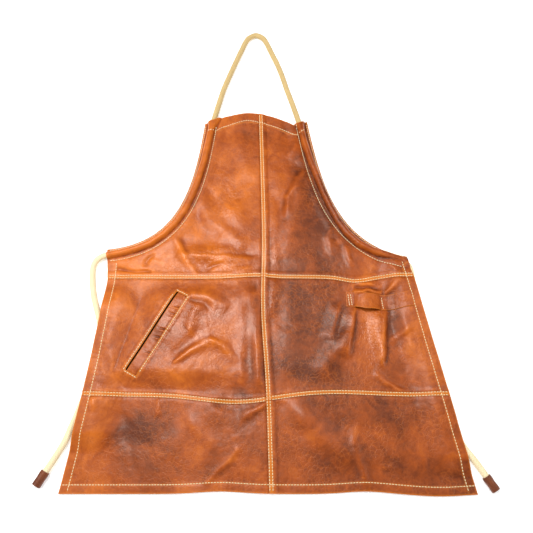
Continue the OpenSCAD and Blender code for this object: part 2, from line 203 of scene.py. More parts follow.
# ---- nodes of the materials ----
class Paint:
    """Builds one material's nodes. A value is a number, a colour or another node's output."""

    def __init__(self, name):
        self.material = bpy.data.materials.new(name)
        self.material.use_nodes = True
        self.tree = self.material.node_tree
        self.shader = self.tree.nodes["Principled BSDF"]
        self.place = self.tree.nodes.new("ShaderNodeTexCoord").outputs["Object"]

    def put(self, value, socket):
        if isinstance(value, bpy.types.NodeSocket):
            self.tree.links.new(value, socket)
        else:
            socket.default_value = (*value, 1) if socket.type == "RGBA" else value

    def node(self, kind, inputs, **settings):
        """A new node; its inputs are a dict by name or number, or a list in order."""
        node = self.tree.nodes.new("ShaderNode" + kind)
        for name, value in settings.items():
            setattr(node, name, value)
        for key, value in inputs.items() if isinstance(inputs, dict) else enumerate(inputs):
            self.put(value, node.inputs[key])
        return node

    def noise(self, scale, detail=4.0, rough=0.55, distort=0.0, stretch=None):
        where = self.place
        if stretch:
            where = self.node("Mapping", {"Scale": stretch, "Vector": where}).outputs["Vector"]
        return self.node("TexNoise", {"Vector": where, "Scale": scale, "Detail": detail, "Roughness": rough,
                                      "Distortion": distort}).outputs["Fac"]

    def cells(self, scale, feature="F1", wander=0.0):
        """Distances in a pattern of cells, whose borders may wander by about so many metres."""
        where = self.place
        if wander:
            bend = self.node("TexNoise", {"Scale": 0.5 / wander, "Vector": where}).outputs["Color"]
            inputs = [bend, (wander, wander, wander), where]
            where = self.node("VectorMath", inputs, operation="MULTIPLY_ADD").outputs["Vector"]
        inputs = {"Scale": scale, "Vector": where}
        return self.node("TexVoronoi", inputs, feature=feature).outputs["Distance"]

    def attribute(self, name):
        return self.node("Attribute", {}, attribute_name=name).outputs["Fac"]

    def math(self, operation, a, b, clamp=False):
        return self.node("Math", [a, b], operation=operation, use_clamp=clamp).outputs[0]

    def add(self, a, b, clamp=False):
        return self.math("ADD", a, b, clamp)

    def times(self, a, b, clamp=False):
        return self.math("MULTIPLY", a, b, clamp)

    def spread(self, value, low, high, to_low=0.0, to_high=1.0):
        return self.node("MapRange", [value, low, high, to_low, to_high]).outputs["Result"]

    def tones(self, value, stops):
        """A smooth blend of colours along a value: stops are (position, colour)."""
        node = self.node("ValToRGB", [value])
        band = node.color_ramp
        while len(band.elements) < len(stops):
            band.elements.new(1.0)
        for element, (position, colour) in zip(band.elements, stops):
            element.position = position
            element.color = (*colour, 1)
        return node.outputs["Color"]

    def blend(self, factor, a, b):
        return self.node("Mix", {0: factor, 6: a, 7: b}, data_type="RGBA").outputs[2]

    def bump(self, height, depth, strength, under=None):
        inputs = {"Strength": strength, "Distance": depth, "Height": height}
        if under is not None:
            inputs["Normal"] = under
        return self.node("Bump", inputs).outputs["Normal"]

    def finish(self, **inputs):
        """Fills in the shader's inputs, whose names have _ for each space here."""
        for name, value in inputs.items():
            self.put(value, self.shader.inputs[name.replace("_", " ")])
        return self.material


# The colour of waxed leather that is pulled tight over a seam
PULLED = (0.60, 0.18, 0.014)


def leather_material(name, dark, middle, bright):
    """Waxed pull-up leather: mottled, lighter on its bent ridges from wear and a painted highlight, with
    painted shade darkening its valleys, finely creased.
    """
    paint = Paint(name)
    add, times, spread = paint.add, paint.times, paint.spread
    worn_ridges_and_shaded_valleys = paint.attribute("worn_ridges_and_shaded_valleys")
    # Clouds and mottle, with the hide's own tone and the painted light and shade of the tone attribute,
    # lighter on worn ridges with a painted highlight, and painted shade darkening the valleys
    tone = add(times(paint.noise(8.5, 4.0, 0.6, 0.6), 0.50), times(paint.noise(42.0, 6.0, 0.65, 1.0), 0.28))
    tone = add(add(tone, add(paint.attribute("tone"), 0.11)), times(worn_ridges_and_shaded_valleys, 0.07))
    colour = paint.tones(tone, [(0.32, dark), (0.49, middle), (0.69, bright)])
    streak = spread(paint.noise(85.0, 7.0, 0.72, 1.4, (1.0, 0.42, 1.0)), 0.52, 0.74)
    colour = paint.blend(times(streak, 0.30), colour, dark)
    # Scratches: thin bright lines, in some places only
    line = paint.math("SUBTRACT", paint.noise(21.0, 2.0, 0.5, 1.6, (0.5, 1.9, 1.0)), 0.5)
    line = spread(paint.math("ABSOLUTE", line, 0), 0.0, 0.007, 1.0, 0.0)
    scratch = times(line, spread(paint.noise(17.0, 3.0, 0.6), 0.53, 0.66))
    colour = paint.blend(times(scratch, 0.5), colour, bright)
    colour = paint.blend(times(paint.attribute("seam"), 0.9, True), colour, PULLED)
    # A net of creases, with a finer one in it
    where = spread(paint.noise(13.0, 4.0, 0.65), 0.42, 0.60, 0.15, 1.0)
    creases = times(spread(paint.cells(118.0, "DISTANCE_TO_EDGE", 0.011), 0.0, 0.10, -1.0, 0.0), where)
    hair = times(spread(paint.cells(330.0, "DISTANCE_TO_EDGE", 0.004), 0.0, 0.12, -1.0, 0.0), where)
    colour = paint.blend(times(creases, -0.22), colour, bright)
    normal = paint.bump(paint.noise(2600.0, 3.0), 0.00003, 0.4)
    normal = paint.bump(paint.cells(900.0), 0.00009, 0.4, normal)
    normal = paint.bump(hair, 0.00014, 0.5, normal)
    normal = paint.bump(creases, 0.00036, 0.6, normal)
    normal = paint.bump(paint.noise(105.0, 3.0, 0.4, 1.0), 0.0008, 0.55, normal)
    shine = times(add(paint.attribute("gloss"), times(worn_ridges_and_shaded_valleys, 0.2), True), 0.15)
    rough = paint.math("SUBTRACT", spread(paint.noise(48.0, 6.0, 0.7), 0.3, 0.7, 0.38, 0.50), shine)
    return paint.finish(Base_Color=colour, Normal=normal, Roughness=rough, Specular_IOR_Level=0.38,
                        Specular_Tint=(1.0, 0.72, 0.58), Coat_Weight=0.06, Coat_Roughness=0.20)


def suede_material(name, dark, bright):
    """The flesh side: short brushed fibres."""
    paint = Paint(name)
    colour = paint.tones(paint.noise(24.0, 8.0, 0.7, 0.6), [(0.35, dark), (0.65, bright)])
    nap = paint.bump(paint.noise(1900.0, 4.0, 0.7), 0.0002, 0.6)
    normal = paint.bump(paint.noise(420.0, 5.0, 0.7, 1.5), 0.0006, 0.6, nap)
    return paint.finish(Base_Color=colour, Normal=normal, Roughness=0.9, Sheen_Weight=0.35,
                        Sheen_Roughness=0.5, Specular_IOR_Level=0.2)


def cotton_material(name, shade, light):
    """Braided cotton: painted shade darkens the colour where the strands dip under each other, with loose
    short fibres.
    """
    paint = Paint(name)
    uneven = paint.times(paint.noise(60.0, 5.0, 0.6), 0.3)
    # Painted shade: darker where a strand dips between its neighbours, lighter on its crown
    tone = paint.add(paint.times(paint.attribute("strand"), 0.75), uneven)
    colour = paint.tones(tone, [(0.12, shade), (0.75, light)])
    yarn = paint.bump(paint.noise(2100.0, 4.0, 0.7), 0.00025, 0.7)
    normal = paint.bump(paint.noise(520.0, 4.0, 0.6, 0.8), 0.0005, 0.6, yarn)
    return paint.finish(Base_Color=colour, Normal=normal, Roughness=0.86, Sheen_Weight=0.3,
                        Sheen_Roughness=0.4, Specular_IOR_Level=0.25)


def thread_material(name, shade, light):
    """Waxed sewing thread, slightly glossy."""
    paint = Paint(name)
    colour = paint.tones(paint.noise(700.0, 4.0, 0.6), [(0.3, shade), (0.6, light)])
    normal = paint.bump(paint.noise(3800.0, 3.0, 0.6), 0.00012, 0.6)
    return paint.finish(Base_Color=colour, Normal=normal, Roughness=0.55, Sheen_Weight=0.2,
                        Specular_IOR_Level=0.4)


# ---- meshes ----
def make_mesh(name, points, faces, materials, face_material=None, values=None):
    """A smooth mesh object from points in millimetres, with its named point values."""
    mesh = bpy.data.meshes.new(name)
    mesh.from_pydata((np.asarray(points, float) * MM).tolist(), [], faces)
    for material in materials:
        mesh.materials.append(material)
    if face_material is not None:
        mesh.polygons.foreach_set("material_index", np.asarray(face_material, np.int32))
    mesh.polygons.foreach_set("use_smooth", np.ones(len(mesh.polygons), bool))
    for key, data in (values or {}).items():
        attribute = mesh.attributes.new(key, "FLOAT", "POINT")
        attribute.data.foreach_set("value", np.asarray(data, np.float32))
    mesh.update()
    piece = bpy.data.objects.new(name, mesh)
    bpy.context.scene.collection.objects.link(piece)
    return piece


def ring(turn, side, up):
    """Directions round an axis, for turns from side towards up."""
    return np.cos(turn)[..., None] * side + np.sin(turn)[..., None] * up


def outline(grid):
    """The border of a grid, all the way round and back to its first place."""
    return np.concatenate([grid[0], grid[1:, -1], grid[-1, -2::-1], grid[-2::-1, 0]])


def grid_faces(rows, cols, closed=False):
    """Quads over rows of points; closed joins each row's last point to its first."""
    across = cols if closed else cols - 1
    v, u = np.meshgrid(np.arange(rows - 1), np.arange(across), indexing="ij")
    a, b = v * cols + u, v * cols + (u + 1) % cols
    return np.stack([a, b, b + cols, a + cols], -1).reshape(-1, 4)


# ---- cords: round braids ----
def smooth_route(points, gap):
    """A smooth line through a route's points, with a point about every gap, and how far along each is."""
    p = np.asarray(points, float)
    p = np.vstack([2 * p[0] - p[1], p, 2 * p[-1] - p[-2]])
    t = np.linspace(0, 1, 40, endpoint=False)[:, None]
    line = [b + 0.5 * t * (c - a + t * (2 * a - 5 * b + 4 * c - d + t * (3 * (b - c) + d - a)))
            for a, b, c, d in zip(p[:-3], p[1:-2], p[2:-1], p[3:])]
    line = np.vstack([*line, p[-2:-1]])
    run = np.concatenate([[0], np.cumsum(np.linalg.norm(np.diff(line, axis=0), axis=1))])
    at = np.linspace(0, run[-1], int(run[-1] / gap) + 1)
    return np.stack([np.interp(at, run, line[:, k]) for k in range(3)], -1), at


def braid_height(around, along, strands=10, lay=46.0):
    """Height of a braid's strands over its core: two families that pass over and under each other."""
    a = strands * around + 2 * np.pi * strands * along / lay
    b = strands * around - 2 * np.pi * strands * along / lay
    i, j = np.round(a / (2 * np.pi)), np.round(b / (2 * np.pi))
    over_a = np.cos(np.pi * i + b / 2)
    over_b = -np.cos(np.pi * j + a / 2)
    round_a = np.sqrt(np.abs(np.cos(a / 2)) + 1e-6)
    round_b = np.sqrt(np.abs(np.cos(b / 2)) + 1e-6)
    return np.maximum(round_a * (0.62 + 0.38 * over_a), round_b * (0.62 + 0.38 * over_b))


def braided_cord(name, route, material, sides=64, gap=0.75):
    """A braided cotton cord along a route, with closed ends, and its centreline in metres."""
    line, at = smooth_route(route, gap)
    heading = np.gradient(line, axis=0)
    heading /= np.linalg.norm(heading, axis=1)[:, None]
    side = np.cross(heading, UP)
    side /= np.linalg.norm(side, axis=1)[:, None]
    up = np.cross(side, heading)
    theta, along = np.meshgrid(np.linspace(0, 2 * np.pi, sides, endpoint=False), at)
    high = braid_height(theta, along)
    uneven = 0.14 * noise(xy(along.ravel(), theta.ravel() * 6), 16, 40).reshape(theta.shape)
    r = CORE_R + STRAND_RISE * high + uneven
    points = (line[:, None] + r[..., None] * ring(theta, side[:, None], up[:, None])).reshape(-1, 3)
    points = np.vstack([points, line[0], line[-1]])
    faces = grid_faces(len(at), sides, True).tolist()
    first, last, start = len(points) - 2, len(points) - 1, (len(at) - 1) * sides
    for k in range(sides):
        n = (k + 1) % sides
        faces += [[first, n, k], [last, start + k, start + n]]
    # The strands' height, which the cotton's colour turns into painted shade between the strands
    strand = np.concatenate([high.ravel(), [0.3, 0.3]])
    return make_mesh(name, points, faces, [material], values={"strand": strand}), line * MM


def last_heading(route):
    """The level direction in which a route ends."""
    return unit(np.subtract(route[-1], route[-2]) * (1, 1, 0))


def settle(piece, node, body):
    """Puts a piece in the place of its CAD node, riding a body."""
    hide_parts(node)
    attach(piece, body)


def make_cords(white, khaki):
    """The neck loop, the two ties, and the cord inside both casings."""
    neck_route = [*LEFT_CASING[-2:], *NECK, *RIGHT_CASING[:-3:-1]]
    neck, path = braided_cord("neck_cord", neck_route, khaki)
    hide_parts("neck_loop_cord")
    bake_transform(neck)
    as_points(path[::6])

    for side, casing, tie, start, end in (
        ("left", LEFT_CASING[2::-1], LEFT_TIE, (-0.335, 0.053, 0), (-0.350, 0.029, 0)),
        ("right", RIGHT_CASING[1::-1], RIGHT_TIE, (0.268, 0.046, 0), (0.284, 0.024, 0)),
    ):
        inside_tip = tuple(tie[-1] + (TIP_LEN - 1.5) * last_heading(tie))
        piece, path = braided_cord(side + "_tie", [*casing, *tie, inside_tip], white)
        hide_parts(side + "_tie_cord")
        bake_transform(piece)
        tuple(start)
        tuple(end)
        tip = cord_tip(side + "_tip", tie)
        settle(tip, side + "_cord_tip", side + "_tie")
        leaves = tuple(round(value * MM, 7) for value in casing[-1])
        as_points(path[::6])

    for side, route in (("left", LEFT_CASING[2:-1]), ("right", RIGHT_CASING[1:-1])):
        piece, _ = braided_cord(side + "_casing_cord", route, white, sides=32, gap=3)
        settle(piece, f"cord_in_{side}_casing", "apron")


def cord_tip(name, tie):
    """A strip of leather wrapped once round the cord's end, its long edge lapped over."""
    run = last_heading(tie)
    side = np.array([run[1], -run[0], 0])
    turn = np.linspace(0, 2 * np.pi * TIP_TURNS, 110)
    along = np.array([0, 0.3, 0.8, 1.5, 3, 5, 8, 11, 14, 17, 20, 23, 25, 26.5, 27.2, 27.7, 28])
    s, t = np.meshgrid(along, turn, indexing="ij")
    middle = TIP_R + TIP_GROWTH * t / turn[-1] + 0.25 * hump(s - 7, 3) - 0.35 * hump(s - 14, 4)
    middle = middle + 0.16 * noise(xy(s.ravel(), t.ravel() * 7), 5, 77).reshape(s.shape)
    lap = np.clip(roundness(turn[-1] - t, 0.125), 0.05, 1)
    half = TIP_HALF_T * roundness(np.minimum(s, TIP_LEN - s), 0.8) * lap
    centre = tie[-1] * np.array([1, 1, 0]) + TIP_Z * UP
    skins = [(centre + s[..., None] * run + r[..., None] * ring(t, side, UP)).reshape(-1, 3)
             for r in (middle + half, middle - half)]
    quads, count = grid_faces(*s.shape), s.size
    rim = outline(np.arange(count).reshape(s.shape)).tolist()
    walls = [[a, b, b + count, a + count] for a, b in zip(rim[:-1], rim[1:])]
    faces = quads[:, ::-1].tolist() + (quads + count).tolist() + walls
    tone = np.full(2 * count, -0.10)
    return make_mesh(name, np.vstack(skins), faces, [LEATHER_TIP], values={"tone": tone})


# ---- pattern lines, as in the frame, but the top hem dips where a casing meets it ----
SIDE_DROP = 408


def left_x(y):
    return -319 - 47 * np.maximum(0, (12 - y) / SIDE_DROP) ** 1.4


def right_x(y):
    return 288 + 78 * (6 - y) / SIDE_DROP


def seam_x(y):
    return -5 - 0.0275 * y - 6 * hump(y + 60, 110)


def waist_y(x):
    return 9 + 4 * hump(x + 25, 40) - 9 * hump(x - 175, 35)


def skirt_y(x):
    return -224 - 13 * hump(x + 60, 90) + 5 * hump(x - 120, 90)


def bottom_y(x):
    return -396 + 4 * hump(x + 84, 55) + 4 * hump(x - 169, 50) - 4 * hump(x - 300, 60)


def top_y(x):
    west = 400 - 29 * (np.maximum(0, -46 - x) / 93) ** 1.5
    east = 400 - 30 * np.clip((x + 46) / 101, 0, 1) ** 2 + 7 * ramp(55, 87, x)
    return np.where(x < -46, west, east) - 4.5 * (hump(x + 118, 13) + hump(x - 69, 12))


ARMHOLE = {
    "left": np.array([(-326.0, 68), (-184, 82), (-157, 201), (-139, 371)]),
    "right": np.array([(279.0, 50), (144, 84), (115, 205), (87, 377)]),
}
CASING_EDGE = {
    "left": np.array([(-322.0, 34), (-159, 51), (-119, 190), (-105, 385)]),
    "right": np.array([(283.0, 22), (124, 25), (74, 220), (54, 370)]),
}


def corner(line_x, line_y, x, rise=0.0):
    """Where two lines meet, about x across, if the cross line is moved up by rise."""
    y = line_y(float(x)) + rise
    return np.array([line_x(y), y])


# Each cross line, and about where the left edge, the right edge and the centre seam meet it
CROSS = {
    "waist": (waist_y, -319, 288, -10),
    "skirt": (skirt_y, -340, 330, 0),
    "bottom": (bottom_y, -366, 366, 6),
}
WAIST, SKIRT, BOTTOM = (
    {"left": corner(left_x, line, west), "right": corner(right_x, line, east),
     "seam": corner(seam_x, line, middle)}
    for line, west, east, middle in CROSS.values()
)
TOP_SEAM = corner(seam_x, top_y, -16)


def cross_line(a, b, line, t):
    """A cross seam from corner a to corner b that follows a line."""
    x = mix(a[0], b[0], t)
    return xy(x, line(x) + mix(a[1] - line(a[0]), b[1] - line(b[0]), t))


def down_line(line_x, low, high, t):
    y = mix(low, high, t)
    return xy(line_x(y), y)


# ---- drape: the height of the leather's underside, close to the frame's, with tighter casings ----
ARCH_LIFT = 10.7
STRIP_LIFT = 1.5
TIE_LIFT = 11.8
SLIT_LOW = np.array([-266.0, -181.0])
SLIT_DIR = np.array([88.0, 157.0]) / math.hypot(88, 157)
SLIT_SIDE = np.array([SLIT_DIR[1], -SLIT_DIR[0]])
# The pocket's window: from and to along its slit, then from and to across it
WINDOW = (2.0, 180.0, -1.0, 22.0)
RIGHT_CASED = [RIGHT_TIE[1], RIGHT_TIE[0], *RIGHT_CASING]


def casing_lift(d, y):
    """The leather wraps its cord, closely but for the bib's top hem, then lies on the facing strip."""
    wide = 7.9 + 7 * ramp(350, 388, y)
    wrap = (1 - np.clip(d / wide, 0, 1) ** 2.6) ** 0.62
    return STRIP_LIFT * (1 - ramp(18, 34, d)) + ARCH_LIFT * wrap


def side_lift(inset, y, foot, low, high, fade):
    """The side hem rides over its tie, and comes down to the floor a little way in and past both ends."""
    along = ramp(low, low + 40, y) * (1 - ramp(high, high + fade, y))
    return TIE_LIFT * (1 - ramp(22, foot, inset)) * along


def pocket_lift(q):
    """The pocket's panel stands off its back layer, most along the slit, but not by the centre seam."""
    gap = (q - SLIT_LOW) @ SLIT_SIDE
    wavy = q[:, 0] + 7 * noise(q, 70, 9)
    inside = (ramp(-70, -2, gap) * (1 - ramp(-52, -22, wavy)) * ramp(-218, -176, q[:, 1])
              * (1 - ramp(-44, 6, q[:, 1])))
    return inside * mix(8.3, 5.0, ramp(-190, -60, q[:, 0]))


def fold(q, points, high, wide, end_wide=None):
    """A ridge along a line, or a valley if high is below zero. It may fan out, and fades at its ends."""
    gap, along = near(points, q)
    span = sum(math.dist(a, b) for a, b in zip(points[:-1], points[1:]))
    end_wide = end_wide or wide
    a, b = np.array(points[0], float), np.array(points[-1], float)
    start = (q - a) @ ((np.array(points[1]) - a) / math.dist(points[0], points[1]))
    stop = (q - b) @ ((b - np.array(points[-2])) / math.dist(points[-2], points[-1]))
    first, last = min(1.5 * wide, span / 2), min(1.8 * end_wide, span / 2)
    faded = ramp(-first, first, start) * (1 - ramp(-last, last, stop))
    return high * hump(gap, mix(wide, end_wide, along / span)) * faded


def pleat(q, start, end, high, left, right):
    """A sharp fold with straight faces. left and right say how wide each face is at the line's two ends."""
    start, end = np.array(start, float), np.array(end, float)
    run = end - start
    length = np.hypot(*run)
    t = ((q - start) @ run) / length**2
    side = ((q - start) @ np.array([run[1], -run[0]])) / length
    along = np.clip(t, 0, 1)
    face = np.where(side < 0, 1 + side / mix(*left, along), 1 - side / mix(*right, along))
    face = np.clip(face, 0, 1)
    soft = mix(face, face * face * (3 - 2 * face), 0.6)
    return high * soft * ramp(-0.12, 0.14, t) * (1 - ramp(0.8, 1.15, t))


FRAME_FOLDS = [
    ([(70, 230), (35, 60)], 6, 22),
    ([(-175, 58), (-60, 66)], 5, 16),
    ([(150, -110), (100, -180)], 5, 18),
    ([(205, -100), (225, -200)], 2.5, 18),
    ([(45, -245), (140, -335)], 6, 22),
    ([(-30, -20), (-20, -215)], 4, 12),
]


def drape(q):
    x, y = q.T
    lift = casing_lift(near(LEFT_CASING, q)[0], y)
    lift = np.maximum(lift, casing_lift(near(RIGHT_CASED, q)[0], y))
    lift = np.maximum(lift, side_lift(x - left_x(y), y, 82, -330, -62, 64))
    lift = np.maximum(lift, side_lift(right_x(y) - x, y, 72, -370, 34, 40))
    lift = np.maximum(lift, pocket_lift(q))
    return lift + sum(fold(q, *each) for each in FRAME_FOLDS)


# ---- relief: waves, creases and puckers on top of the drape ----
# Creases: a line, its height, its width, and its width at the far end
CREASES = [
    # bib, left
    ([(-140, 49), (-95, 43), (-38, 48)], 1.6, 11, 9),
    ([(-122, 27), (-90, 38)], -1.3, 4, 4),
    ([(-70, 24), (-34, 30)], 1.2, 6, 5),
    ([(-194, 98), (-174, 64), (-146, 20)], 1.9, 8, 12),
    ([(-176, 96), (-156, 56), (-136, 24)], -1.4, 8, 9),
    ([(-142, 184), (-121, 137), (-92, 112), (-60, 86), (-40, 68)], 1.7, 12, 13),
    ([(-166, 178), (-140, 120), (-110, 92)], -2.0, 12, 14),
    ([(-138, 217), (-112, 182), (-100, 160)], -1.2, 8, 11),
    ([(-74, 170), (-52, 116)], 2.0, 20, 17),
    ([(-302, 24), (-236, 21)], -2.4, 4.5, 3.5),
    ([(-236, 44), (-208, 40)], 1.0, 7, 6),
    ([(-231, 58), (-247, 34)], -1.8, 4.5, 4.5),
    ([(-60, 330), (-44, 240)], 1.6, 16, 14),
    # bib, right
    ([(74, 345), (50, 288)], 3.0, 13, 12),
    ([(78, 252), (45, 190), (36, 146)], 3.0, 8, 9),
    ([(20, 250), (24, 190)], 2.0, 16, 14),
    ([(132, 124), (124, 92), (134, 64)], 2.8, 7, 8),
    ([(158, 74), (173, 34)], 3.0, 7, 8),
    ([(238, 36), (254, 21)], 2.2, 5, 5),
    ([(10, 180), (15, 40)], 1.8, 11, 10),
    ([(205, 26), (228, 40)], 1.5, 6, 6),
    # waist, left
    ([(-14, -6), (-18, -110), (-16, -200)], 2.0, 8, 8),
    ([(-176, -166), (-150, -142), (-112, -126), (-84, -134)], 2.4, 4, 14),
    ([(-184, -150), (-162, -130), (-128, -108)], -1.7, 8, 12),
    ([(-112, -122), (-84, -134), (-66, -160)], 1.8, 7, 9),
    ([(-150, -110), (-142, -70), (-128, -46)], 1.8, 8, 10),
    ([(-158, -22), (-118, -34), (-84, -56)], 2.3, 9, 12),
    ([(-152, -38), (-112, -54)], -1.8, 6, 7),
    ([(-300, -20), (-262, -60), (-250, -110)], 1.6, 13, 15),
    ([(-292, -150), (-286, -196)], 1.4, 8, 8),
    # waist, right
    ([(11, 2), (4, -72)], 3.0, 13, 9),
    ([(44, -20), (52, -150)], 1.4, 22, 26),
    ([(240, -78), (236, -130)], -1.6, 8, 10),
    ([(202, -182), (222, -204), (248, -219)], 2.4, 6, 6),
    ([(232, -128), (276, -90)], 1.8, 7, 7),
    ([(168, -25), (197, -17), (223, -27)], 3.2, 4, 4),
    ([(172, -13), (196, -8), (216, -15)], -2.0, 3.5, 3.5),
    ([(178, -3), (212, -6)], 1.4, 4, 4),
    ([(231, -30), (252, -2)], 3.0, 4, 10),
    ([(260, -66), (266, -150)], 1.8, 10, 10),
    # skirt
    ([(-50, -264), (0, -237)], 3.0, 8, 6),
    ([(-98, -240), (-52, -252)], -2.6, 8, 9),
    ([(-318, -230), (-316, -252)], 2.0, 6, 6),
    ([(-205, -238), (-202, -260)], 2.0, 6, 6),
    ([(-150, -262), (-96, -318)], 1.8, 13, 13),
    ([(-112, -376), (-48, -322)], 1.5, 5, 6),
    ([(-265, -262), (-255, -318)], -1.6, 14, 14),
    ([(152, -290), (173, -384)], 2.4, 9, 9),
    ([(250, -256), (282, -352)], 1.8, 13, 13),
    ([(22, -240), (60, -300)], -1.6, 9, 9),
]


# Pleats: the ends of the ridge, its height, then the widths of the left and the right face at both ends
PLEATS = [
    ((214, -168), (227, -66), 6.5, (12, 46), (9, 12)),
    ((150, -150), (169, -60), 5.0, (27, 20), (12, 6)),
    ((118, -120), (140, -50), 3.4, (26, 26), (12, 8)),
    ((-170, 72), (-26, 58), -3.4, (34, 26), (16, 10)),
]


# How far the leather's middle stands over the drape, so that its valleys stay off what is under it
RELIEF_LIFT = 2.4


def relief(q):
    """Height of the leather's own waves and wrinkles."""
    warp = xy(noise(q, 62, 3), noise(q, 62, 4))
    bent = q + 14 * warp
    broad = 1.8 * noise(bent, 125, 1) + 1.1 * noise(bent, 60, 2) + 0.22 * noise(bent + 4 * warp, 27, 12)
    where = ramp(-0.2, 0.45, noise(q, 74, 8))
    wrinkle = 0.6 * (0.32 - np.abs(noise(bent * (1, 0.8), 31, 5))) * where
    crumple = (0.12 * noise(bent + 5 * warp, 14, 6) + 0.08 * noise(q + 2 * warp, 7, 7)) * (0.4 + where)
    bowed = q + 4 * warp + 2.5 * xy(noise(q, 24, 13), noise(q, 24, 14))
    shape = broad + wrinkle + crumple + sum(fold(bowed, *each) for each in CREASES)
    shape = shape + sum(pleat(mix(q, bowed, 0.4), *each) for each in PLEATS)
    cased = np.minimum(near(LEFT_CASING, q)[0], near(RIGHT_CASED, q)[0])
    calm = 0.25 + 0.75 * ramp(12, 34, cased)
    raised = RELIEF_LIFT + shape * calm
    return 0.35 + np.where(raised > 1, raised, np.exp(np.minimum(raised, 1) - 1))


PUCKER_REACH = 9


def puckers(d, along):
    """Small ripples across a seam where its thread gathers the leather."""
    ripple = 0.7 * noise(xy(along, d * 0.30), 7.0, 21) + noise(xy(along, d * 0.22), 4.6, 22)
    return 0.30 * ripple * np.exp(-d / PUCKER_REACH) * ramp(0.3, 2, d)


# ---- panels ----
# At a seam the upper panel laps over the lower one, and the right column over the left. The panel on
# top reaches LAP past the seam's line, and the one under it reaches UNDER past it.
LAP = ROW_GAP / 2 + 1.6
UNDER = 1.0
# How far in from their edges the rows of stitches run
LAP_ROWS = [LAP - ROW_GAP / 2, LAP + ROW_GAP / 2]
ARMHOLE_ROWS = [3.0, 26.0]
WINDOW_ROW = 3.0
SEAM_SHIFT = {"left": UNDER, "right": -LAP}
SEAM_EDGE = {"left": "under", "right": "center_lap"}
# For each kind of edge: how wide its turned allowance is, how far in its rows of stitches run, how much of
# the allowance's thickness shows on the face, how far the edge is raised, and how thin the leather is pared
EDGES = {
    "hem": (HEM + 2, [HEM], 0.45, 0, 1),
    "top": (TOP_HEM + 2, [TOP_HEM], 0.45, 0, 1),
    "lap": (LAP_ROWS[1] + 1.5, LAP_ROWS, 0, 1.2, 0.75),
    "center_lap": (LAP_ROWS[1] + 1.5, LAP_ROWS, 0, 2.6, 0.75),
    "under": (LAP + UNDER - 0.8, [], 0, 0, 0.5),
    "armhole": (5.0, ARMHOLE_ROWS, 0.3, 0, 1),
    "window": (8.0, [WINDOW_ROW], 0.6, 0, 1),
    "cut": (1.0, [], 0, 0, 1),
}
# The radius of a cut edge, where the mesh's rows are from an edge inwards, and their gap further in
ROUND = 1.0
EDGE_STEPS = [0, 0.08, 0.3, 0.65, 1.05, 1.5, 2.2, 3.25, 4.4, 5.8, 7.4, 9.0, 10.8]
CASING_STEPS = [0, 0.08, 0.3, 0.65, 1.05, 1.5, 2.2, 3.0, 3.8, 4.4, 4.9, 5.4, 6.0, 6.8, 7.7, 8.7, 9.8]
STEP = 2.0


def spaced(width, start=EDGE_STEPS, end=EDGE_STEPS, step=STEP):
    """Fractions from 0 to 1 over a width, close together near its ends."""
    stop = [width - e for e in reversed(end)]
    count = max(2, int((stop[0] - start[-1]) / step))
    middle = np.linspace(start[-1], stop[0], count + 1)[1:-1]
    return np.concatenate([start, middle, stop]) / width


def coons(west, east, south, north, u, v):
    """Places between four border lines, for fractions u across and v up."""
    w, e, s, n = west(v)[:, None], east(v)[:, None], south(u)[None], north(u)[None]
    u, v = u[None, :, None], v[:, None, None]
    corners = mix(mix(s[:, :1], s[:, -1:], u), mix(n[:, :1], n[:, -1:], u), v)
    return mix(w, e, u) + mix(s, n, v) - corners


def edge_effects(q, edges):
    """What the edges do to a panel: extra height above and below, rounding, and the seam's own wear."""
    none = np.zeros(len(q))
    top, lift, seam, proud, tuck = none, none, none, none, none
    thin, open_part, nearest = none + 1, none + 1, none + FAR
    for line, kind in edges:
        d, along = near(line, q)
        width, rows, shows, raised, pared = EDGES[kind]
        nearest = np.minimum(nearest, d)
        thin = np.minimum(thin, mix(pared, 1, ramp(width - 1, width + 6, d)))
        lift = lift + raised * (1 - ramp(width, width + 9, d))
        for row in rows:
            top = top - 0.4 * hump(d - row, 0.95) - 0.2 * hump(d - row, 4.5)
        if kind == "under":
            top = top + puckers(np.maximum(d - UNDER - LAP, 0), along)
        elif rows:
            top = top + puckers(np.abs(d - rows[-1]), along) * (1.8 if kind == "window" else 1)
        if kind == "hem":
            ripple = noise(xy(along, d * 0.12), 5.5, 23) * (1 - ramp(18, 34, d))
            top = top + 0.5 * ripple * ramp(0.05, 0.5, noise(xy(along, along * 0), 55, 24))
        if shows:
            inside = 1 - ramp(width - 0.9, width + 0.9, d)
            proud = np.maximum(proud, shows * (1 - ramp(width - 2.5, width + 2.5, d)))
            open_part = open_part * (1 - inside)
            tuck = np.maximum(tuck, np.exp(-np.maximum(d - width, 0) / 9))
            seam = np.maximum(seam, 0.7 * hump(d - rows[0], 1.1))
            seam = np.maximum(seam, 0.9 * hump(d, 1.8))
        if raised:
            seam = np.maximum(seam, 0.8 * ramp(0.4, rows[0], d) * (1 - ramp(rows[1], rows[1] + 1.8, d)))
            seam = np.maximum(seam, 0.5 * hump(d, 0.9))
    low = 0.5 * LEATHER_T * open_part * tuck
    return top + lift + LEATHER_T * proud, low + lift, thin, nearest, seam


def closed_sheet(name, q, faces, rim, high, low, skins, folded, values):
    """A closed mesh of an upper and a lower skin over the same flat places, joined along the rim."""
    below = np.where(rim, np.arange(len(q)), len(q) + np.cumsum(~rim) - 1)
    points = np.vstack([np.column_stack([q, high]), np.column_stack([q, low])[~rim]])
    back = [[int(below[i]) for i in reversed(face)] for face in faces]
    full = {key: np.concatenate([data, data[~rim] * 0]) for key, data in values.items()}
    return make_mesh(name, points, faces + back, skins, [0] * len(faces) + folded, full)


def pinch(high, low, swell):
    """Brings two heights together towards their middle."""
    middle, half = (high + low) / 2, (high - low) / 2
    return middle + half * swell, middle - half * swell


LOWEST = 0.05


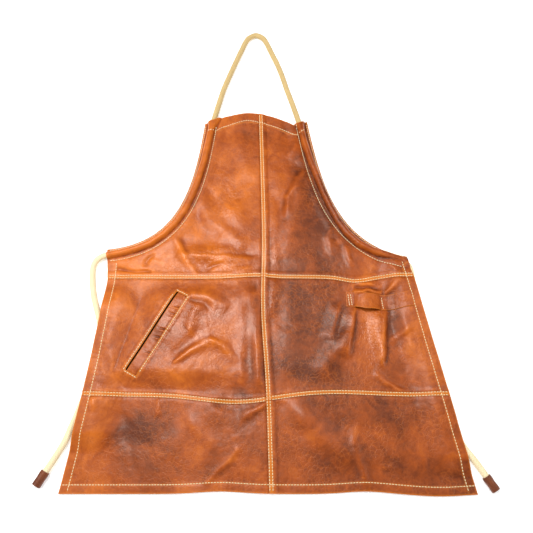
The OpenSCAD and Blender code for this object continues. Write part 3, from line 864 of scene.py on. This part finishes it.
def shell(name, q, faces, rim, edges, skins, values):
    """A closed sheet of leather over flat places q: its face above, its flesh side below."""
    lift, sink, thin, nearest, seam = edge_effects(q, edges)
    base = drape(q) + relief(q)
    high, low = pinch(base + LEATHER_T * thin + lift, base + sink, roundness(nearest, ROUND))
    low = np.maximum(low, LOWEST)
    inset = np.min([near(line, q)[0] - EDGES[kind][0] for line, kind in edges], axis=0)
    folded = [0 if inset[face[0]] < 0 else 1 for face in faces]
    values = {"seam": seam, "worn_ridges_and_shaded_valleys": ridges(q, faces, high), **values}
    return closed_sheet(name, q, faces, rim, high, low, skins, folded, values)


SMOOTHINGS = 14


def ridges(q, faces, high):
    """How far each place stands over its neighbourhood: above zero on ridges, below in valleys."""
    pairs = np.array([(f[i], f[(i + 1) % len(f)]) for f in faces for i in range(len(f))])
    ways = (pairs, pairs[:, ::-1])
    count = np.bincount(pairs.ravel(), minlength=len(q))
    soft = high.copy()
    for _ in range(SMOOTHINGS):
        total = sum(np.bincount(here, soft[there], len(q)) for here, there in (way.T for way in ways))
        soft = 0.5 * soft + 0.5 * total / count
    return np.clip((high - soft) / 0.5, -1.5, 1.5)


def grid_rim(rows, cols):
    rim = np.ones((rows, cols), bool)
    rim[1:-1, 1:-1] = False
    return rim.ravel()


# Patches of lighter or darker colour, some the hide's own tone and some painted highlight and painted shade
# on slopes and pleat faces: place, reach across and up, tone
TONE_AND_PAINTED_LIGHT_PATCHES = [
    ((-245, -285), (44, 34), -0.13),
    ((-100, 335), (60, 50), -0.06),
    ((-78, 170), (48, 75), 0.07),
    ((-250, 40), (70, 30), 0.05),
    ((105, 130), (60, 75), -0.11),
    ((60, -150), (70, 60), -0.10),
    ((90, 240), (40, 70), -0.05),
    ((30, 210), (26, 90), 0.05),
    # Painted shade over the slope right of the centre seam
    ((60, -60), (80, 60), -0.11),
    ((48, -50), (24, 60), -0.07),
    ((-190, -140), (60, 60), -0.02),
    ((285, -90), (36, 90), 0.05),
    ((-70, -300), (36, 60), 0.05),
    ((-170, -350), (90, 30), -0.05),
    ((60, -300), (40, 60), 0.03),
    ((-190, -300), (130, 70), -0.09),
    ((132, -110), (30, 60), -0.04),
    # Painted highlight on the tool-loop pleat's left face, then painted shade on its right face
    ((203, -100), (20, 50), 0.10),
    ((245, -75), (14, 50), -0.09),
]


def patches(q, table):
    return sum(much * np.exp(-np.sum(((q - place) / reach) ** 2, 1)) for place, reach, much in table)


def hide_tone_and_painted_light(q):
    """How light the hide is: its own random tone and patches, with painted light making the left side
    lighter and the right side darker, and painted shade darkening it towards the bottom.
    """
    x, y = q.T
    tone = 0.05 * np.tanh(-(x + 20) / 90) + 0.04 * noise(q, 120, 31) - 0.03 * ramp(-200, -240, y)
    return tone + patches(q, TONE_AND_PAINTED_LIGHT_PATCHES)


# Patches that are polished by wear: place, reach across and up, how much
POLISH = [
    ((-110, -100), (115, 95), 1.0),
    ((-90, 50), (120, 38), 1.0),
    ((-75, 165), (50, 85), 0.75),
    ((-270, -330), (80, 60), 0.4),
    ((200, -110), (50, 80), 1.0),
    ((130, -85), (30, 50), 0.5),
    ((60, 310), (35, 50), 0.6),
    ((8, 90), (18, 120), 0.6),
    ((11, -42), (9, 36), 0.9),
    ((150, 70), (40, 40), 0.5),
    ((190, -340), (60, 40), 0.4),
]


def hide(q, tone=0.0):
    """The values that colour the leather, with its painted light and shade, and polish it, at its flat
    places.
    """
    return {"tone": hide_tone_and_painted_light(q) + tone, "gloss": np.clip(patches(q, POLISH), 0, 1)}


def row_corners(name, side, rise):
    """A panel's outer and inner corners on a cross line, moved up by rise."""
    line, west, east, middle = CROSS[name]
    outer = corner(left_x, line, west, rise) if side == "left" else corner(right_x, line, east, rise)
    return outer, corner(seam_x, line, middle, rise) + (SEAM_SHIFT[side], 0)


def panel_seam(side, low, high, t):
    """The centre seam's edge of a panel."""
    return down_line(seam_x, low, high, t) + (SEAM_SHIFT[side], 0)


def bib_panel(side):
    """One half of the bib: a strip over the casing, then the field up to the centre seam."""
    casing, inner = ARMHOLE[side], CASING_EDGE[side]
    foot, middle = row_corners("waist", side, -LAP)
    turn = 0.1

    def hip(t):
        down = straight(inner[0], foot)(t / turn)
        across = cross_line(foot, middle, waist_y, np.clip((t - turn) / (1 - turn), 0, 1))
        return np.where((t < turn)[:, None], down, across)

    def top(a, b):
        return lambda t: xy(mix(a, b, t), top_y(mix(a, b, t)))

    rows = spaced(372)
    strip = coons(lambda v: bezier(casing, v), lambda v: bezier(inner, v),
                  straight(casing[0], inner[0]), top(casing[3][0], inner[3][0]),
                  spaced(36, CASING_STEPS, [0], 1.1), rows)
    across = spaced(270, [0])
    field = coons(lambda v: bezier(inner, v), lambda v: panel_seam(side, middle[1], TOP_SEAM[1], v),
                  hip, top(inner[3][0], TOP_SEAM[0] + SEAM_SHIFT[side]), across, rows)
    hip_end = int(np.sum(across < turn))
    places = np.concatenate([strip, field[:, 1:]], 1)
    outer, seam_line = places[:, 0], places[:, -1]
    if side == "right":
        places = places[:, ::-1]
    edges = [(outer[::3], "armhole"), (places[-1, ::3], "top"), (seam_line[::4], SEAM_EDGE[side]),
             (strip[0], "cut"), (field[0, :hip_end + 1], "hem"), (field[0, hip_end::2], "lap")]
    return finish_panel(f"bib_{side}", places, edges, f"bib_panel_{side}")


def row_panel(side, row, low, high):
    """A waist or skirt panel, from its side edge to the centre seam, between two cross lines."""
    line_x = left_x if side == "left" else right_x
    lapped = low != "bottom"
    low_line, high_line = CROSS[low][0], CROSS[high][0]
    low_outer, low_inner = row_corners(low, side, -LAP if lapped else 0)
    high_outer, high_inner = row_corners(high, side, UNDER)
    places = coons(lambda v: down_line(line_x, low_outer[1], high_outer[1], v),
                   lambda v: panel_seam(side, low_inner[1], high_inner[1], v),
                   lambda u: cross_line(low_outer, low_inner, low_line, u),
                   lambda u: cross_line(high_outer, high_inner, high_line, u),
                   spaced(330), spaced(high_inner[1] - low_inner[1]))
    outer, seam_line = places[:, 0], places[:, -1]
    if side == "right":
        places = places[:, ::-1]
    edges = [(outer[::4], "hem"), (places[0, ::3], "lap" if lapped else "hem"), (places[-1, ::3], "under"),
             (seam_line[::4], SEAM_EDGE[side])]
    return finish_panel(f"{row}_{side}", places, edges, f"{row}_panel_{side}")


def on_pocket(along, side):
    return SLIT_LOW + np.multiply.outer(along, SLIT_DIR) + np.multiply.outer(side, SLIT_SIDE)


def pocket_place(q):
    return (q - SLIT_LOW) @ SLIT_DIR, (q - SLIT_LOW) @ SLIT_SIDE


def window_corners(margin=0):
    """The window's corners, along and across its slit, grown by a margin and back to the first."""
    low, high, west, east = WINDOW
    low, high, west, east = low - margin, high + margin, west - margin, east + margin
    return [(low, west), (high, west), (high, east), (low, east), (low, west)]


def cut_window(q, faces):
    """Cuts the pocket's window out of flat faces, with close rows of points round it."""
    mesh = bmesh.new()
    verts = [mesh.verts.new((x, y, 0)) for x, y in q]
    for face in faces:
        mesh.faces.new([verts[i] for i in face])
    low, high, west, east = WINDOW

    def faces_within(margin):
        centres = np.array([face.calc_center_median()[:2] for face in mesh.faces])
        a, s = pocket_place(centres)
        hit = (low - margin < a) & (a < high + margin) & (west - margin < s) & (s < east + margin)
        return [face for face, inside in zip(mesh.faces, hit) if inside]

    for off in (4.4, 3.25, 2.2, 1.5, 1.05, 0.65, 0.3, 0.08, 0):
        for value, direction in ((west - off, SLIT_SIDE), (east + off, SLIT_SIDE),
                                 (low - off, SLIT_DIR), (high + off, SLIT_DIR)):
            geometry = set()
            for face in faces_within(6):
                geometry.update([face, *face.edges, *face.verts])
            bmesh.ops.bisect_plane(mesh, geom=list(geometry), dist=1e-4, plane_no=(*direction, 0),
                                   plane_co=(*(SLIT_LOW + value * direction), 0))
    bmesh.ops.delete(mesh, geom=faces_within(0), context="FACES")
    mesh.verts.index_update()
    q = np.array([v.co[:2] for v in mesh.verts])
    faces = [[v.index for v in face.verts] for face in mesh.faces]
    rim = np.array([v.is_boundary for v in mesh.verts])
    mesh.free()
    return q, faces, rim


def finish_panel(name, places, edges, node):
    """Turns a grid of places into a finished leather panel."""
    rows, cols = places.shape[:2]
    q, faces, rim = places.reshape(-1, 2), grid_faces(rows, cols).tolist(), grid_rim(rows, cols)
    if node == "waist_panel_left":
        q, faces, rim = cut_window(q, faces)
        edges = [*edges, ([on_pocket(a, s) for a, s in window_corners()], "window")]
    piece = shell(name, q, faces, rim, edges, [LEATHER, LEATHER_BACK], hide(q))
    settle(piece, node, "apron")
    border = outline(places)
    return piece


# ---- stitching ----
STITCH_R = 0.72
PITCH = 5.2
STITCH_LEN = 4.35


def surface_under(pieces):
    """A function that gives the height of the leather's face over a place, or None beside it."""
    graph = bpy.context.evaluated_depsgraph_get()
    trees = [BVHTree.FromObject(piece, graph) for piece in pieces]

    def height(x, y):
        hits = [tree.ray_cast(Vector((x * MM, y * MM, 0.1)), Vector((0, 0, -1)))[0] for tree in trees]
        return max((hit.z / MM for hit in hits if hit is not None), default=None)

    return height


def stitch_shape(length):
    """One stitch along +X: two plies twisted together that dive into the leather at both ends."""
    rings, sides = 9, 8
    around = np.linspace(0, 2 * np.pi, sides, endpoint=False)
    t, turn = np.meshgrid(np.linspace(0, 1, rings), around, indexing="ij")
    swell = np.sin(np.pi * np.clip(t, 0.03, 0.97)) ** 0.35
    reach = STITCH_R * swell * (1 + 0.14 * np.cos(2 * (turn - 2.4 * np.pi * t)))
    rise = 0.95 * np.sin(np.pi * t) ** 0.6 - 0.42
    points = np.stack([(t - 0.5) * length, reach * np.cos(turn), rise + reach * np.sin(turn)], -1)
    ends = [list(range(sides)), list(range((rings - 1) * sides, rings * sides))[::-1]]
    return points.reshape(-1, 3), grid_faces(rings, sides, True)[:, ::-1].tolist() + ends


def sew(name, rows, height, node, pitch=PITCH, length=STITCH_LEN):
    """Stitches along each row; a row is a list of places."""
    shape, shape_faces = stitch_shape(length)
    points, faces = [], []
    random = np.random.RandomState(len(name) * 7 + 5)
    for row in rows:
        row = np.asarray(row, float)
        run = np.concatenate([[0], np.cumsum(np.hypot(*np.diff(row, axis=0).T))])
        count = int(run[-1] // pitch)
        shift = (run[-1] - count * pitch) / 2
        for k in range(count):
            mid = shift + (k + 0.5) * pitch + random.uniform(-0.15, 0.15)
            a, b = (np.array([np.interp(mid + end, run, row[:, c]) for c in (0, 1)])
                    for end in (-length / 2, length / 2))
            heights = [height(*place) for place in (a, b, (a + b) / 2)]
            if None in heights:
                continue
            a, b = np.array([*a, heights[0]]), np.array([*b, heights[1]])
            along = unit(b - a)
            along = unit(along + random.uniform(-0.05, 0.05) * unit(np.cross(UP, along)))
            up = unit(np.cross(along, np.cross(UP, along)))
            centre = (a + b) / 2
            centre[2] = max(centre[2], heights[2])
            faces += [[i + len(points) * len(shape) for i in face] for face in shape_faces]
            points.append(centre + shape @ np.array([along, np.cross(up, along), up]))
    settle(make_mesh(name, np.vstack(points), faces, [THREAD]), node, "apron")


def beside(path, gap):
    """The path moved sideways, to its right."""
    heading = np.gradient(np.asarray(path, float), axis=0)
    heading /= np.hypot(*heading.T)[:, None]
    return path + gap * xy(heading[:, 1], -heading[:, 0])


def double(path):
    return [beside(path, -ROW_GAP / 2), beside(path, ROW_GAP / 2)]


def sew_everything(height):
    t = np.linspace(0, 1, 90)
    center = down_line(seam_x, BOTTOM["seam"][1] + 2, TOP_SEAM[1] - 2, t)
    sew("center_seam_stitches", double(center), height, "center_seam_thread")
    for name, corners, line in (("waist", WAIST, waist_y), ("skirt", SKIRT, skirt_y)):
        rows = []
        for side in ("left", "right"):
            rows += double(cross_line(corners[side], corners["seam"], line, mix(0.006, 0.985, t)))
        sew(name + "_seam_stitches", rows, height, name + "_seam_thread")
    y = np.linspace(40, -393, 120)
    for side, x in (("left", left_x(y) + HEM), ("right", right_x(y) - HEM)):
        sew(side + "_hem_stitches", [xy(x, y)], height, side + "_hem_thread")
    x = np.linspace(-362, 362, 160)
    sew("bottom_hem_stitches", [xy(x, bottom_y(x) + HEM)], height, "bottom_hem_thread")
    x = np.linspace(-134, 83, 80)
    sew("top_hem_stitches", [xy(x, top_y(x) - TOP_HEM + 5 * hump(x + 46, 30))], height, "top_hem_thread")
    for side, away in (("left", 1), ("right", -1)):
        edge = bezier(ARMHOLE[side], mix(0.01, 0.99, t))
        sew(f"armhole_{side}_stitches", [beside(edge, away * inset) for inset in ARMHOLE_ROWS], height,
            f"armhole_thread_{side}")
    corners = window_corners(WINDOW_ROW)
    rows = [on_pocket(mix(a0, a1, t[::6]), mix(s0, s1, t[::6]))
            for (a0, s0), (a1, s1) in zip(corners[:-1], corners[1:])]
    sew("pocket_stitches", rows, height, "pocket_thread")
    rows = [xy(x + 1.5 - 3 * t[::9], loop_mid_y(x) + mix(-LOOP_HALF, LOOP_HALF, t[::9])) for x in LOOP_ROWS]
    sew("tool_loop_stitches", rows, height, "tool_loop_thread", pitch=4.8, length=4.0)


# ---- pocket, loop and facings ----
# The lowest a sheet comes to the floor, the pocket lining's corners, half the tool loop's width, and where
# its rows of stitches are
ON_FLOOR = 0.04
BAG_CORNERS = [(-298, -198), (-44, -206), (-44, -6), (-193, 2)]
LOOP_HALF = 15.5
LOOP_ROWS = (158, 163, 223)


def plain_sheet(name, places, high, low, skins, values, rounding, node):
    """A closed sheet over a grid of places between two heights, with rounded edges, in its node's place."""
    rows, cols = places.shape[:2]
    q, rim, faces = places.reshape(-1, 2), grid_rim(rows, cols), grid_faces(rows, cols).tolist()
    line = outline(places)
    d = near(line[::2] if len(line) > 200 else line, q)[0]
    d[rim] = 0
    values = {"seam": 0.5 * hump(d, 1.2), "worn_ridges_and_shaded_valleys": ridges(q, faces, high), **values}
    high, low = pinch(high, low, roundness(d, rounding))
    piece = closed_sheet(name, q, faces, rim, high, low, skins, [1] * len(faces), values)
    settle(piece, node, "apron")
    return piece


def make_welt():
    """The folded strip that fills the pocket's window, its lip along the open slit."""
    along = np.concatenate([[-6, -5.7, -5], np.arange(-4, 189, 1.3), [189, 189.7, 190]])
    across = np.concatenate([[1.5, 1.6, 1.9, 2.4, 3.2], np.arange(4, 29.5, 1.3), [29.6, 29.9, 30]])
    a, s = (grid.ravel() for grid in np.meshgrid(along, across, indexing="ij"))
    q = SLIT_LOW + a[:, None] * SLIT_DIR + s[:, None] * SLIT_SIDE
    creases = noise(xy(a, s * 0.5), 21, 51) + 0.5 * noise(xy(a, s * 0.35), 8, 52)
    high = drape(q) + relief(q) - 0.35 + 0.5 * creases * ramp(1.5, 8, s) - 0.8 * ramp(16, 24, s)
    for at, deep in ((155, 1.0), (139, 0.7), (104, 1.0), (86, 1.0), (52, 0.6)):
        off = a - at - 0.25 * (s - 24)
        high = high + deep * (0.8 * hump(off + 3.6, 2.6) - 1.3 * hump(off, 1.9)) * ramp(5, 20, s)
    plain_sheet("pocket_welt_leather", q.reshape(len(along), len(across), 2), high, high - 1.5,
                [LEATHER, LEATHER_BACK], hide(q, -0.01), 1.2,
                "pocket_welt")


def make_bag():
    """The pocket's back layer, flesh side up, on the floor under the panel."""
    sw, se, ne, nw = np.array(BAG_CORNERS, float)
    places = coons(straight(sw, nw), straight(se, ne), straight(sw, se), straight(nw, ne),
                   np.linspace(0, 1, 60), np.linspace(0, 1, 55))
    q = places.reshape(-1, 2)
    plain_sheet("pocket_lining", places, 1.05 + 0.25 * noise(q, 30, 61), np.full(len(q), ON_FLOOR),
                [LINING, LINING], {}, 3.0,
                "pocket_bag")


def loop_mid_y(x):
    return -38 - 8 * ramp(160, 228, x) + 6 * ramp(232, 283, x)


def make_tool_loop(height):
    """A strap sewn down at its left end and at two thirds, bowed up in between."""
    x = np.concatenate([[153, 153.15, 153.6, 154.4], np.arange(155.5, 281.5, 1.3), [282.4, 282.85, 283]])
    rim = LOOP_HALF - np.array([0, 0.15, 0.6, 1.4, 2.5])
    xs, ts = np.meshgrid(x, np.concatenate([-rim, np.arange(-11.5, 12, 1.3), rim[::-1]]))
    y = loop_mid_y(xs) + ts - 3.2 * hump(xs - 190, 15) * ramp(6, -15, ts)
    places = xy(xs, y)
    q = places.reshape(-1, 2)
    x, y = q.T
    ground = np.array([height(*p) or 0 for p in q])
    rise = np.clip(np.sin(np.pi * np.clip((x - 168) / 51, 0, 1)), 0, 1) ** 0.72
    tilt = 1 + 0.25 * (loop_mid_y(x) - y) / 15
    wrinkles = 0.3 * noise(q * (1, 0.4), 6, 71) + 0.25 * noise(q, 11, 72)
    low = ground + 0.12 + 8.4 * rise * tilt + 0.6 * np.maximum(wrinkles, -0.1)
    high = low + 1.5 - 0.4 * sum(hump(x - row, 1.0) for row in LOOP_ROWS) + 0.15 * wrinkles
    return plain_sheet("tool_loop_leather", places, high, low, [LEATHER, LEATHER_BACK], hide(q, 0.02), 0.9,
                       "tool_loop")


def make_facing(side, away, start):
    """The strip behind an armhole that closes its casing, flesh side down on the floor."""
    edge = bezier(ARMHOLE[side], np.linspace(start, 0.92, 190))
    offsets = np.concatenate([[0, 0.15, 0.5, 1.0], np.arange(2.5, 26, 2.2), [27, 27.5, 27.85, 28]])
    places = np.stack([beside(edge, away * off) for off in offsets], 1)[:, ::away]
    q = places.reshape(-1, 2)
    plain_sheet(f"armhole_facing_{side}_leather", places, 1.36 + 0.06 * noise(q, 12, 81),
                np.full(len(q), ON_FLOOR), [LEATHER_BACK, LEATHER], {}, 0.7,
                f"armhole_facing_{side}")


# ---- stage ----
FLOOR_Z = -0.0004
# Each light's name, its place, where it points, its width and height, and its power
LIGHTS = [
    ("left", (-2.3, -0.2, 1.7), (0, 0, 0), (1.3, 1.3), 38),
    ("right", (2.3, -0.3, 1.7), (0, 0, 0), (1.3, 1.3), 26),
    ("front", (0, -2.5, 1.8), (0, 0, 0), (1.5, 1.0), 16),
    ("softbox", (-0.46, 0.60, 1.9), (-0.15, 0, 0), (0.56, 0.85), 26),
    ("overhead", (-0.28, 0.42, 1.9), (-0.1, 0, 0), (0.34, 0.40), 9),
    ("strip", (0.95, 0.62, 1.8), (0.15, 0, 0), (0.30, 0.9), 6),
]


def make_stage():
    """A plain pale floor and soft studio light."""
    bpy.ops.mesh.primitive_plane_add(size=8, location=(0, 0, FLOOR_Z))
    floor = bpy.context.object
    floor.name = "floor"
    floor.data.materials.append(Paint("floor_paint").finish(
        Base_Color=(0.9, 0.9, 0.9), Roughness=0.9, Specular_IOR_Level=0.1, Emission_Color=(1, 1, 1),
        Emission_Strength=0.36))
    light_world(0.10)
    for light in LIGHTS:
        add_light(*light)


def light_world(strength):
    """An even pale surround, seen as white behind the floor."""
    world = bpy.data.worlds.new("world")
    world.use_nodes = True
    nodes, links = world.node_tree.nodes, world.node_tree.links
    path = nodes.new("ShaderNodeLightPath")
    amount = nodes.new("ShaderNodeMapRange")
    amount.inputs["To Min"].default_value = strength
    amount.inputs["To Max"].default_value = 1.0
    links.new(path.outputs["Is Camera Ray"], amount.inputs["Value"])
    nodes["Background"].inputs["Color"].default_value = (1, 1, 1, 1)
    links.new(amount.outputs["Result"], nodes["Background"].inputs["Strength"])
    bpy.context.scene.world = world


def add_light(name, place, target, size, power):
    data = bpy.data.lights.new(name, "AREA")
    data.shape = "RECTANGLE"
    data.size, data.size_y = size
    data.energy = power
    light = bpy.data.objects.new(name, data)
    light.location = place
    light.rotation_euler = (Vector(target) - Vector(place)).to_track_quat("-Z", "Y").to_euler()
    bpy.context.scene.collection.objects.link(light)


# ---- the apron ----
make_camera()
WHITE_COTTON = cotton_material("tie_cotton", (0.50, 0.34, 0.14), (0.92, 0.78, 0.50))
KHAKI_COTTON = cotton_material("neck_cotton", (0.20, 0.11, 0.03), (0.62, 0.45, 0.20))
TONES = ((0.095, 0.016, 0.003), (0.315, 0.060, 0.007), (0.61, 0.152, 0.015))
LEATHER = leather_material("grain_leather", *TONES)
LEATHER_TIP = leather_material("tip_leather", (0.09, 0.022, 0.010), (0.20, 0.055, 0.02), (0.36, 0.11, 0.04))
LEATHER_BACK = suede_material("flesh_side", (0.26, 0.12, 0.055), (0.42, 0.22, 0.11))
LINING = suede_material("pocket_lining_suede", (0.05, 0.022, 0.012), (0.10, 0.045, 0.022))
THREAD = thread_material("cream_thread", (0.66, 0.46, 0.20), (0.95, 0.80, 0.50))
make_cords(WHITE_COTTON, KHAKI_COTTON)
make_stage()
panels = [bib_panel("left"), bib_panel("right")]
for side in ("left", "right"):
    panels.append(row_panel(side, "waist", "skirt", "waist"))
    panels.append(row_panel(side, "skirt", "bottom", "skirt"))
make_bag()
make_welt()
make_facing("left", 1, 0.0)
make_facing("right", -1, 0.04)
tool_loop = make_tool_loop(surface_under(panels))
sew_everything(surface_under([*panels, tool_loop]))
bpy.context.scene.view_settings.view_transform = "Standard"
